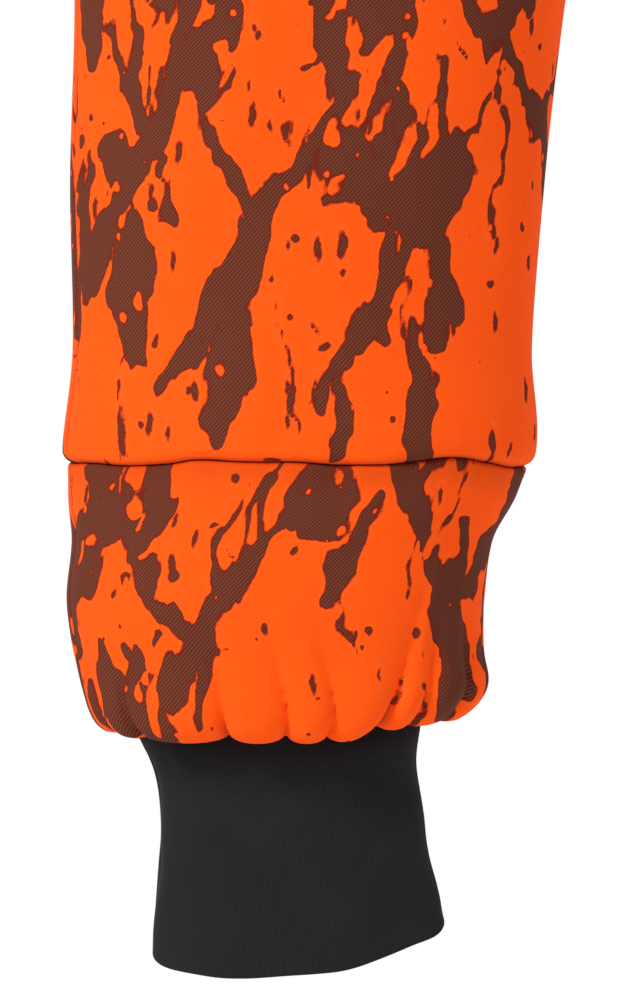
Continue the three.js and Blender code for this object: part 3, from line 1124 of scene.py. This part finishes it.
def drape(s: Array, v: Array, back: bool) -> Array:
    """The sleeve's own soft undulation, in millimetres outwards, with small puckers at the cross seam.

    Args:
        s: Places across the panel, in millimetres from its middle.
        v: Heights.
        back: Whether this is the back panel.

    Returns:
        The relief.
    """
    seed = 70 if back else 60
    still = fade(np.abs(v - ARMHOLE), 4, 60) * fade(np.abs(v - CROSS_SEAM), 2, 40)
    broad = 1.5 * noise(s / 46, v / 95, seed, 2) * still
    higher = 2.2 * noise(s / 60 + v / 160, v / 60, seed + 3) * fade(v, 330, 430) * fade(ARMHOLE - v, 6, 60)
    puckers = 0.5 * np.exp(-np.abs(v - CROSS_SEAM) / 8.0) * noise(s / 7.5, v / 60, seed + 7, 2)
    return (broad + higher) * fade(96 - np.abs(s), 0, 26) + puckers


def seam_wave(s: Array, v: Array, edge: Array, back: bool) -> Array:
    """How far the cross seam wanders down from level, where edge is the distance from a side seam."""
    wander = 1.5 * noise(s / 27 + 0.35, 0 * s, 36 + back, 2)
    return wander * np.exp(-np.abs(v - CROSS_SEAM) / 12.0) * fade(edge, 0, 12)


# ---- Layers ----


# How far a full turn to the top of the cuff brings the cloth in, in millimetres, when a line is measured.
TURN_DEPTH = 16.0


@dataclass(frozen=True)
class Path:
    """A layer's line in the sleeve's wall: heights, insets, turns and weights of the gathers and hang."""

    v: Array
    inset: Array
    turn: Array
    gather: Array
    hang: Array

    @staticmethod
    def through(rows: Sequence[Sequence[float]], step: Callable[[float], float]) -> "Path":
        """Draws a smooth line.

        Args:
            rows: (v, inset, turn, gather, hang) from the bottom up, where the last ones left out are 0.
            step: The distance wanted between rows of the mesh at a height.

        Returns:
            The line's even points.
        """
        table = np.array([[*row, 0, 0, 0][:5] for row in rows], float)
        chord = np.hypot(np.diff(table[:, 0]), np.diff(table[:, 1] + TURN_DEPTH * table[:, 2]))
        run = np.concatenate([[0.0], np.cumsum(chord)])
        at, here = [0.0], 0.0
        while here < run[-1] - 1e-6:
            here = min(run[-1], here + step(float(np.interp(here, run, table[:, 0]))))
            at.append(here)
        return Path(*Form(np.column_stack([run, table])).at(np.array(at)))


@dataclass(frozen=True)
class Panel:
    """A panel of the sleeve: its share of the section, and its columns of points."""

    name: str
    start: float
    end: float
    columns: int
    back: bool
    groove: float = 1.5
    ripple: float = 0.55
    drawn_in: float = 2.8
    swell: float = 2.3
    swell_height: float = 7.5

    def spread(self) -> Array:
        """The columns' places from 0 to 1, close together at the two edges for the groove of the seam."""
        close = 0.018 * np.linspace(0, 1, 8)[1:-1] ** 1.6
        return np.sort(np.concatenate([np.linspace(0, 1, self.columns - 12), close, 1 - close]))

    def grid(
        self, path: Path, thickness: float, gathers: Gathers, margin: float = 0.0
    ) -> tuple[Grid, Array]:
        """Sweeps a line round the panel.

        Args:
            path: The line of the panel's outer face.
            thickness: The cloth's thickness, in millimetres.
            gathers: The folds at the band.
            margin: How far the panel stops short of its side seams, in millimetres.

        Returns:
            The sheet, and the painted shade at each point of its outer face, from 0 to 1.
        """
        share, middle = self.start + (self.end - self.start) * self.spread(), 0.5 * (self.start + self.end)
        angles, girth = around(SLEEVE_FORM, path.v, share)
        girth = girth[:, None]
        columns = path.v, path.inset, path.turn, path.gather, path.hang
        v, inset, turn, gather, hang = (column[:, None] for column in columns)
        s = (share - middle) * girth
        s = np.clip(s, s[:, :1] + margin, s[:, -1:] - margin) if margin else s
        for k, row in enumerate(middle + s / girth):
            angles[k] = np.interp(row, share, angles[k])
        edge = np.minimum(s - s[:, :1], s[:, -1:] - s)

        round_s = s + (girth / 2 if self.back else 0.0)
        round_s = np.where(round_s > girth / 2, round_s - girth, round_s)
        puffed, fall, crease_shade_mask = gathers.folds(round_s * gathers.girth / girth, v + 0 * s)
        near = np.exp(-np.clip(v - CUFF_TOP, 0, None) / 26)
        ripple = self.ripple * noise(s / 8.5, v / 55, 81 + self.back, 2) * near
        relief = (puffed + ripple) * gather * (1.0 - 0.28 * turn)
        relief += drape(s, v, self.back) * (1 - gather) * (turn < 0.01)
        bell = np.exp(-(((v - CUFF_TOP - 9) / self.swell_height) ** 2))
        outline = self.swell * fade(np.cos(angles), 0.5, 1.0) * bell * gather
        outline -= self.drawn_in * fade(-np.cos(angles), 0.6, 1.0) * fade(v, CUFF_TOP + 27, CUFF_TOP + 2)
        relief += (outline - self.groove * np.exp(-edge / 0.8)) * (1 - turn)
        drop = fall * hang + seam_wave(s, v, edge, self.back)
        outer = surface(SLEEVE_FORM, v, angles, inset - relief, turn, drop)

        # Painted shade, from 0 to 1: darker where the cloth turns in at the seam roll and the gathered edge,
        # in the grooves by the side seams and in the gather creases.
        depth = np.maximum(np.clip(inset / 2.6 - 0.25 + 0 * s, 0, 1), 0.75 * np.exp(-edge / 0.7))
        depth = np.maximum(depth, 0.9 * fade(crease_shade_mask, 0.15, 0.9))
        climb = np.linalg.norm(np.diff(outer[:, self.columns // 2], axis=0), axis=1) / MM
        height = path.v[0] + np.concatenate([[0.0], np.cumsum(climb)])
        level = np.clip(CROSS_SEAM, path.v.min() + 8, path.v.max() - 8)
        here = int(np.argmin(np.abs(path.v - level)))
        height += path.v[here] - height[here]
        flat = np.stack([s, np.broadcast_to(height[:, None], s.shape)], axis=-1)
        return Grid.thick(outer, np.gradient(outer, axis=1), thickness, flat), depth


FRONT = Panel("front", 0.028, 0.503, 170, False)
BACK = Panel("back", 0.503, 1.028, 170, True)
SIDES = (("outer", FRONT.start), ("underarm", FRONT.end))
QUARTER = [math.pi / 2 * k / 6 for k in range(1, 6)]


@dataclass
class Quilted:
    """A stretch of the sleeve, with a printed shell, wadding and a lining in a front and a back panel."""

    palette: Palette
    gathers: Gathers
    shell: float
    wadding: float
    lining: float

    def shell_path(self) -> Path:
        """The shell's line."""
        raise NotImplementedError

    def printed(self, panel: Panel, name: str, node: str, bark: BarkPrint) -> Piece:
        """Makes a panel of the shell.

        Args:
            panel: The panel.
            name: The piece's name.
            node: The node that it stands for.
            bark: Its print.

        Returns:
            The piece.
        """
        grid, depth = panel.grid(self.shell_path(), self.shell, self.gathers)
        # The depth attribute carries the painted shade of the grooves and creases to the twill.
        piece = grid.mesh(name, {"print": bark.field(grid.flat), "depth": depth})
        return self.declare(dress(piece, self.palette.twill, "sleeve", node), grid)

    def pad(self, panel: Panel, name: str, node: str, path: Path) -> Piece:
        """Makes a panel of wadding.

        Args:
            panel: The panel.
            name: The piece's name.
            node: The node that it stands for.
            path: The line of its outer face.

        Returns:
            The piece.
        """
        grid, _ = panel.grid(path, self.wadding, self.gathers, margin=0.4)
        piece = dress(grid.mesh(name), self.palette.wadding, "sleeve", node)
        return piece

    def lined(self, panel: Panel, name: str, node: str, path: Path) -> Piece:
        """Makes a panel of the lining along a line, with its name and the node that it stands for."""
        grid, _ = panel.grid(path, self.lining, self.gathers)
        return self.declare(dress(grid.mesh(name), self.palette.lining, "sleeve", node), grid)

    @staticmethod
    def declare(piece: Piece, grid: Grid) -> Piece:
        """Gives a panel back as it is."""
        return piece

    def long_seams(
        self, label: str, heights: Array, inset: float, thread: Material, slot: str
    ) -> list[Piece]:
        """Sews the two seams up the sides.

        Args:
            label: What the pieces' names start with.
            heights: The seams' heights, from the bottom up.
            inset: Their depth below the surface.
            thread: The thread's material.
            slot: The thread's slot; not used.

        Returns:
            The two seams.
        """
        pieces = []
        for side, share in SIDES:
            row = StitchRow(f"{label}_{side}_stitches", StitchKind.LOCKSTITCH, 2.8, 0.16, 1.2, 0.28, thread)
            piece = row.sew(*seam_up(SLEEVE_FORM, heights, share, inset))
            pieces.append(dress(piece, thread, "sleeve", f"{label}_{side}_seam_thread"))
        return pieces


@dataclass
class UpperSleeve(Quilted):
    """The sleeve above the cross seam: shell, wadding, lining, seams and the bound edge at the armhole."""

    shell: float = 0.8
    wadding: float = 3.6
    lining: float = 0.5
    gap: float = 0.3
    seam_depth: float = 4.3
    seam_radius: float = 3.4
    fine_up_to: float = 318.0
    seeds: tuple[int, int] = (24, 5)

    def shell_path(self) -> Path:
        """The shell's line: in at the cross seam, round its roll and up to the armhole."""
        seam, r = CROSS_SEAM + 0.05, self.seam_radius
        rows = [(seam + 0.1, self.seam_depth), (seam, r + 0.6)]
        rows += [(seam + r * (1 - math.cos(angle)), r * (1 - math.sin(angle))) for angle in QUARTER]
        rows += [(seam + r + rise, 0) for rise in (0.5, 4, 12)]
        rows += [(v, 0) for v in np.linspace(CROSS_SEAM + 30, ARMHOLE, 12)]
        step = lambda v: 1.15 if v < self.fine_up_to else 2.3
        return Path.through(rows, lambda v: 0.6 if v < CROSS_SEAM + 5 else step(v))

    def build(self) -> None:
        """Makes every piece of the upper sleeve."""
        for panel in (FRONT, BACK):
            bark = BarkPrint(self.seeds[panel.back]).cover(across=(-130, 130), up=(150, 580))
            self.printed(panel, f"shell_{panel.name}_cloth", f"sleeve_shell_{panel.name}", bark)
        foot, under = CROSS_SEAM + 3.2, self.shell + 0.35
        deep = self.shell + self.wadding + 2.5 * self.gap
        fill = [(foot, self.shell + 2.2), (foot + 5, under)]
        fill += [(v, under) for v in np.linspace(foot + 16, ARMHOLE - 0.8, 10)]
        inside = [(v, deep) for v in np.linspace(CROSS_SEAM - 2.0, ARMHOLE - 0.3, 12)]
        for panel in (replace(FRONT, columns=72), replace(BACK, columns=72)):
            path = Path.through(fill, lambda v: 4.0)
            self.pad(panel, f"wadding_{panel.name}", f"sleeve_wadding_{panel.name}", path)
            path = Path.through(inside, lambda v: 3.0)
            self.lined(panel, f"lining_{panel.name}_cloth", f"sleeve_lining_{panel.name}", path)
        self.stitching()

    def stitching(self) -> None:
        """Sews the long seams, the cross seam and the overlock round the armhole."""
        heights = np.linspace(CROSS_SEAM + 5, ARMHOLE - 9, 200)
        orange, deep = self.palette.orange, self.shell + self.wadding + 3.6 * self.gap
        self.long_seams("shell", heights, 0.9, orange, "orange_thread")
        self.long_seams("lining", heights, deep, self.palette.black, "black_thread")
        row = StitchRow("cross_seam_stitches", StitchKind.LOCKSTITCH, 2.6, 0.16, 1.1, 0.28, orange)
        piece = row.sew(*seam_round(SLEEVE_FORM, CROSS_SEAM + 1.6, 4.2), closed=True)
        dress(piece, orange, "sleeve", "cross_seam_thread")
        row = StitchRow("armhole_overlock_loops", StitchKind.OVERLOCK, 2.1, 0.42, 4.2, 4.0, orange, 0.28)
        piece = row.sew(*seam_round(SLEEVE_FORM, ARMHOLE - 3.6, 2.9), closed=True)
        dress(piece, orange, "sleeve", "armhole_overlock")


@dataclass
class HemBand(Quilted):
    """The band below the cross seam, which blouses over its gathered lower edge."""

    shell: float = 0.8
    wadding: float = 2.6
    lining: float = 0.5
    travel: float = 0.0
    seam_radius: float = 2.4
    tuck: float = 1.4
    seeds: tuple[int, int] = (65, 45)

    def shell_path(self) -> Path:
        """The shell's line: the gathered edge, the hanging fold, the face and the turn in at the seam."""
        foot, seam, r = CUFF_TOP, CROSS_SEAM - 0.05, self.seam_radius
        rows = [
            (foot + 4.4, -1.5, 1.0, 0.06, 0.3),
            (foot + 2.2, -1.2, 0.97, 0.16, 0.6),
            (foot + 0.2, -0.8, 0.88, 0.36, 0.9),
            (foot - 1.1, -0.3, 0.74, 0.6, 1.0),
            (foot - 1.6, -0.2, 0.58, 0.8, 1.0),
            (foot - 0.9, -0.2, 0.38, 0.95, 1.0),
            (foot + 1.8, -0.2, 0.18, 1.0, 0.9),
            (foot + 6.0, -0.1, 0.06, 1.0, 0.6),
            (foot + 12.0, 0, 0, 1.0, 0.25),
            (foot + 20.0, 0, 0, 1.0, 0.06),
            (foot + 30.0, 0, 0, 1.0),
            (foot + 44.0, 0, 0, 0.9),
            (foot + 58.0, 0, 0, 0.4),
            (foot + 68.0, 0.2),
            (foot + 76.0, 0.8),
            (seam - r - 1.0, self.tuck),
        ]
        roll = [(1 - math.sin(angle), 1 - math.cos(angle)) for angle in QUARTER]
        rows += [(seam - r * down, self.tuck + r * across) for down, across in roll]
        rows += [(seam, self.tuck + r + 0.2), (seam - 0.1, 4.3)]
        return Path.through(rows, lambda v: 0.7 if v > CROSS_SEAM - 4 or v < CUFF_TOP + 14 else 1.1)

    def settle(self, piece: Piece) -> None:
        """Gives a piece a mesh of its own."""
        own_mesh(piece)

    def build(self) -> None:
        """Makes every piece of the band."""
        pieces = []
        foot, seam, inset = CUFF_TOP, CROSS_SEAM, self.shell + 0.35
        deep = self.shell + self.wadding + 1.15
        fill = [(foot + 16, inset + 1.6, 0.1, 0.9), (foot + 24, inset, 0, 1), (foot + 40, inset, 0, 0.95)]
        fill += [(foot + 60, inset, 0, 0.3), (seam - 8, inset), (seam - 3.2, inset + 2.2)]
        inside = [(foot + 3.4, 3.5, 1, 0.05), (foot + 8.4, 3.5, 1, 0.05), (foot + 14.0, 3.6, 1, 0.08)]
        inside += [(foot + 19, 5.4, 0.6, 0.2), (foot + 29, deep, 0, 0.6), (foot + 44, deep, 0, 0.5)]
        inside += [(seam - 8, deep), (seam + 2.6, deep)]
        for panel in (FRONT, BACK):
            bark, coarse = BarkPrint(self.seeds[panel.back]), replace(panel, columns=90)
            bark.cover(across=(-100, 100), up=(40, 180))
            pieces.append(self.printed(panel, f"band_{panel.name}_cloth", f"band_shell_{panel.name}", bark))
            name, node = f"band_wadding_{panel.name}_pad", f"band_wadding_{panel.name}"
            pieces.append(self.pad(coarse, name, node, Path.through(fill, lambda v: 3.0)))
            name, node = f"band_lining_{panel.name}_cloth", f"band_lining_{panel.name}"
            pieces.append(self.lined(coarse, name, node, Path.through(inside, lambda v: 2.4)))
        heights = np.linspace(foot + 26, seam - 4, 50)
        pieces += self.long_seams("band", heights, 0.9, self.palette.orange, "orange_thread")
        for piece in pieces:
            self.settle(piece)


@dataclass
class KnitCuff:
    """The doubled knit cuff, its joined edges, and the elastic and overlock that it carries."""

    palette: Palette
    knit: float = 1.2
    hollow: float = 1.2
    over: float = 3.4
    columns: int = 240
    elastic_length: float = 236.0
    hem_rise: float = 6.0
    hem_drop: float = 1.1
    unevenness: float = 0.9

    def tube(self, rows: Sequence[tuple[float, float]]) -> Grid:
        """Sweeps a line right round the cuff.

        Args:
            rows: The line's (height, inset).

        Returns:
            The doubled tube's cloth.
        """
        v, inset = np.array(rows, float).T[:, :, None]
        edges = np.linspace(0, 1, self.columns + 1)
        angles, girth = around(CUFF_FORM, np.clip(v[:, 0], 0, CUFF_TOP), edges[:-1])
        wide = (edges - 0.25) * girth[:, None]
        s, side = wide[:, :-1], np.cos(angles)
        hem = self.hem_drop * fade(side, 0.7, 1) - self.hem_rise * fade(side, 0.18, 0.92)
        hem *= fade(-np.sin(angles), -0.7, 0.1)
        hem = (hem + 0.8 * noise(s / 20, 0 * s, 97, 1)) * np.exp(-v / 16)
        outer = surface(CUFF_FORM, v, angles, inset - self.flutes(s, v), 0.0, hem)
        run = np.concatenate([[0.0], np.cumsum(np.linalg.norm(np.diff(outer[:, 0], axis=0), axis=1))]) / MM
        flat = np.stack([wide, np.broadcast_to(run[:, None], wide.shape)], axis=-1)
        ahead = np.roll(outer, -1, axis=1) - np.roll(outer, 1, axis=1)
        return Grid.thick(outer, ahead, self.knit, flat, closed=True)

    def flutes(self, s: Array, v: Array) -> Array:
        """The cuff's relief: short flutes under the gathers and a slow unevenness, in millimetres."""
        top = np.exp(-np.abs(CUFF_TOP - 4 - v) / 9.0)
        free = fade(v, 0, 12) * fade(CUFF_TOP + 1 - v, 0, 16)
        slow = self.unevenness * noise(s / 34, v / 34, 95, 2) * free
        return 0.5 * top * noise(s / 6.5, v / 90, 91, 2) + slow

    def build(self) -> None:
        """Makes every piece of the cuff."""
        fold = (2 * self.knit + self.hollow) / 2
        rows = [(v, 2 * fold) for v in np.linspace(CUFF_TOP, fold + 1.0, 44)]
        bend = [math.pi * k / 12 for k in range(13)]
        rows += [(fold * (1 - math.sin(angle)), fold * (1 + math.cos(angle))) for angle in bend]
        rows += [(v, 0.0) for v in np.linspace(fold + 1.0, CUFF_TOP + self.over, 62)]
        grid = self.tube(rows)
        # Painted shadow: the knit darkens over its top 13 mm, under the band's fold, through the depth
        # attribute.
        painted_shade = fade(np.array(rows)[:, :1], CUFF_TOP - 13, CUFF_TOP - 1)
        cuff = grid.mesh("cuff_tube", {"depth": np.repeat(painted_shade, self.columns, axis=1)})
        dress(cuff, self.palette.knit, "cuff", "cuff_knit")

        black, overlock = self.palette.black, StitchKind.OVERLOCK
        row = StitchRow("cuff_side_overlock", overlock, 1.9, 0.18, 1.7, 0.34, black, slant=0.2)
        middle = self.knit + self.hollow / 2
        piece = row.sew(*seam_up(CUFF_FORM, np.linspace(8, CUFF_TOP - 1, 60), 0.5, middle))
        dress(piece, black, "cuff", "cuff_side_seam")

        foot = CUFF_TOP + 1.5
        neck = Form([[v, NECK[0], v, 0, 0, *NECK[4:]] for v in (foot - 20, foot + 20)])
        angle, heights = around(neck, np.array([foot]), ROUND)[0], np.linspace(foot, foot + 5.6, 7)[:, None]
        across = (np.linspace(0, 1, len(ROUND) + 1) - 0.25) * self.elastic_length + 0 * heights
        flat = np.stack([across, heights - foot + 0 * across], axis=-1)
        outer, inner = (surface(neck, heights, angle, inset) for inset in (1.0, 2.0))
        braid = Grid(outer, inner, flat, closed=True).mesh("gathering_elastic_braid")
        dress(braid, self.palette.elastic, "cuff", "gathering_elastic")
        row = StitchRow("gather_overlock_loops", overlock, 2.0, 0.2, 2.7, 0.32, black, slant=0.3)
        piece = row.sew(*seam_round(neck, foot + 2.8, 2.65), closed=True)
        dress(piece, black, "cuff", "gather_overlock")


# ---- The studio ----


@dataclass(frozen=True)
class Lamp:
    """A soft area light, with its place from the middle of the view in metres and its power in watts."""

    name: str
    place: tuple[float, float, float]
    size: float
    power: float
    colour: tuple[float, float, float] = (1.0, 1.0, 1.0)


@dataclass(frozen=True)
class Studio:
    """A pale floor, soft lights and a level camera on the lower sleeve."""

    view_height: float = 317.5 * MM
    view_x: float = -42.7 * MM
    view_rise: float = 150.3 * MM
    lens: float = 220.0
    sensor: float = 36.0
    floor_radius: float = 1.6
    floor_drop: float = 0.35
    lamps: tuple[Lamp, ...] = (
        Lamp("key", (-1.55, -1.6, 1.5), 0.9, 52, (1.0, 0.98, 0.95)),
        Lamp("fill", (1.7, -1.5, 0.2), 1.6, 4, (1.0, 0.93, 0.90)),
        Lamp("back", (-0.6, 2.0, 1.2), 1.4, 26),
        Lamp("side", (2.0, 0.8, 1.0), 1.2, 9),
    )

    @staticmethod
    def place(name: str, data: bpy.types.ID, at: Vector, target: Vector) -> Piece:
        """Adds a light or a camera to the scene, with its -Z towards a target."""
        thing = bpy.data.objects.new(name, data)
        bpy.context.scene.collection.objects.link(thing)
        thing.location = at
        thing.rotation_euler = (target - at).to_track_quat("-Z", "Y").to_euler()
        return thing

    def build(self) -> None:
        """Sets the camera, floor, lights and world."""
        scene = bpy.context.scene
        scene.view_settings.view_transform = "Standard"
        scene.view_settings.look = "None"
        target = Vector((self.view_x, 0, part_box("cuff_knit")[0].z + self.view_rise))
        data = bpy.data.cameras.new("camera")
        data.sensor_fit, data.sensor_height, data.lens = "VERTICAL", self.sensor, self.lens
        data.clip_start, data.clip_end = 0.1, 60
        distance = self.lens * self.view_height / self.sensor
        scene.camera = self.place("camera", data, target + Vector((0, -distance, 0)), target)

        z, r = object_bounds()[0][2] - self.floor_drop, self.floor_radius
        turns = [2 * math.pi * k / 96 for k in range(96)]
        mesh = bpy.data.meshes.new("floor")
        mesh.from_pydata([(r * math.cos(t), r * math.sin(t), z) for t in turns], [], [list(range(96))])
        mesh.materials.append(PalePaper().material())
        floor = bpy.data.objects.new("floor", mesh)
        scene.collection.objects.link(floor)
        floor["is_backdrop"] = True

        middle = Vector((target.x, 0, target.z + 0.05))
        for lamp in self.lamps:
            data = bpy.data.lights.new(lamp.name, "AREA")
            data.shape, data.size, data.energy, data.color = "DISK", lamp.size, lamp.power, lamp.colour
            self.place(lamp.name, data, middle + Vector(lamp.place), middle)
        self.world()

    @staticmethod
    def world() -> None:
        """Sets a dim sky, which the camera sees as white."""
        world = bpy.data.worlds.new("studio")
        bpy.context.scene.world = world
        world.use_nodes = True
        tree = world.node_tree
        tree.nodes.clear()
        sky = add_node(tree, "ShaderNodeBackground", {"Color": (0.95, 0.97, 1.0, 1), "Strength": 0.24})
        seen = add_node(tree, "ShaderNodeBackground", {"Color": (1, 1, 1, 1), "Strength": 1.0})
        ray = add_node(tree, "ShaderNodeLightPath").outputs["Is Camera Ray"]
        mix = add_node(tree, "ShaderNodeMixShader", {0: ray, 1: sky.outputs[0], 2: seen.outputs[0]})
        add_node(tree, "ShaderNodeOutputWorld", {"Surface": mix.outputs[0]})


def main() -> None:
    """Builds the studio and the sleeve."""
    logging.basicConfig(level=logging.INFO, format="%(message)s")
    Studio().build()
    palette, gathers = Palette(), Gathers()
    UpperSleeve(palette, gathers).build()
    HemBand(palette, gathers, travel=frame["joints"][0]["range_m"][1]).build()
    KnitCuff(palette).build()


if __name__ == "__main__":
    main()
